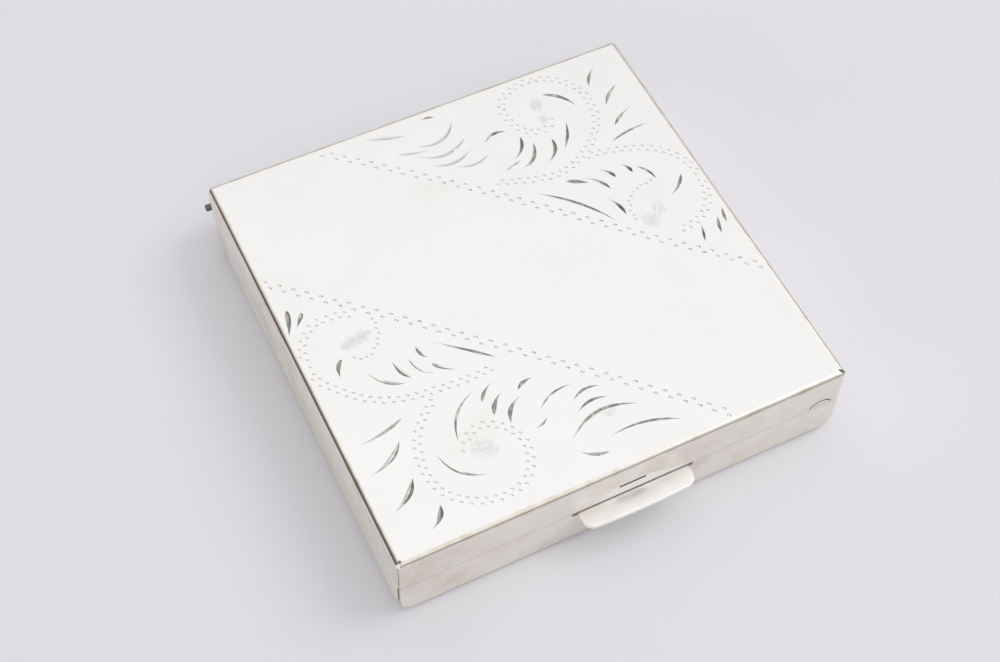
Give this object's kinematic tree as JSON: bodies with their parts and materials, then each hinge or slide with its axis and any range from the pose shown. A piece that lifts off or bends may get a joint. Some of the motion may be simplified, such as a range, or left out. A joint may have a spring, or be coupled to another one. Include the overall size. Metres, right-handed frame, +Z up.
{
  "type": "powder compact",
  "caption": "Square engraved silver powder compact with a hinged mirror lid, a push-in thumb catch, an inner powder door over a sifter, and a velour puff with a ribbon.",
  "frame": {"origin": "centre of the flat underside of the base, closed case", "axes": "+Z up through the closed lid, -Y towards the thumb catch at the front, +Y towards the lid's hinge, +X to the right seen from the front"},
  "size_m": [0.0645, 0.0694, 0.013],
  "materials": {
    "silver": "polished sterling silver with fine wear",
    "inner_metal": "polished gilt inside",
    "steel": "drawn wire and spring strip",
    "powder": "matt pressed powder",
    "mesh": "woven gilt wire",
    "mirror": "silvered glass",
    "card": "plain card",
    "velour": "short peach velour",
    "puff_cloth": "satin-faced cloth",
    "ribbon": "peach satin"
  },
  "bodies": {
    "base": {"base_shell": "silver", "base_front_plate": "silver", "base_hinge_leaf": "silver", "hinge_pin": "steel", "well_frame": "inner_metal", "frame_studs": "steel", "powder_pan": "inner_metal", "powder_cake": "powder", "sifter_ring": "inner_metal", "sifter_mesh": "mesh", "door_hinge_leaf": "inner_metal", "door_hinge_pin": "steel", "door_catch": "inner_metal", "catch_foot": "steel", "catch_studs": "steel"},
    "catch": {"catch_blade": "inner_metal", "thumb_lip": "silver"},
    "lid": {"lid_shell": "silver", "lid_hinge_leaf": "silver", "mirror_frame": "inner_metal", "mirror_glass": "mirror", "mirror_backing": "card", "mirror_clips": "inner_metal"},
    "powder_door": {"powder_door": "inner_metal", "door_knuckles": "inner_metal", "door_pull": "inner_metal"},
    "puff": {"puff_pad": "velour", "puff_backing": "puff_cloth", "puff_ribbon": "ribbon"}
  },
  "joints": [
    {"name": "lid_hinge", "type": "hinge", "parent": "base", "child": "lid", "pos_m": [0, 0.0333, 0.00681], "axis": [-1, 0, 0], "range_deg": [0, 120]},
    {"name": "catch_push", "type": "hinge", "parent": "base", "child": "catch", "pos_m": [0.0009, -0.0304, 0.0016], "axis": [-1, 0, 0], "range_deg": [0, 6], "stiffness_Nm_per_rad": 0.14, "springref_deg": -2.86},
    {"name": "powder_door_hinge", "type": "hinge", "parent": "base", "child": "powder_door", "pos_m": [0, 0.0279, 0.00745], "axis": [-1, 0, 0], "range_deg": [0, 42]},
    {"name": "puff_lift", "type": "hinge", "parent": "powder_door", "child": "puff", "pos_m": [0, 0.0268, 0.0075], "axis": [-1, 0, 0], "range_deg": [0, 12]}
  ],
  "couplings": [
    {"joint": "powder_door_hinge", "follows": "lid_hinge", "ratio": 0.35},
    {"joint": "puff_lift", "follows": "lid_hinge", "ratio": 0.1}
  ]
}
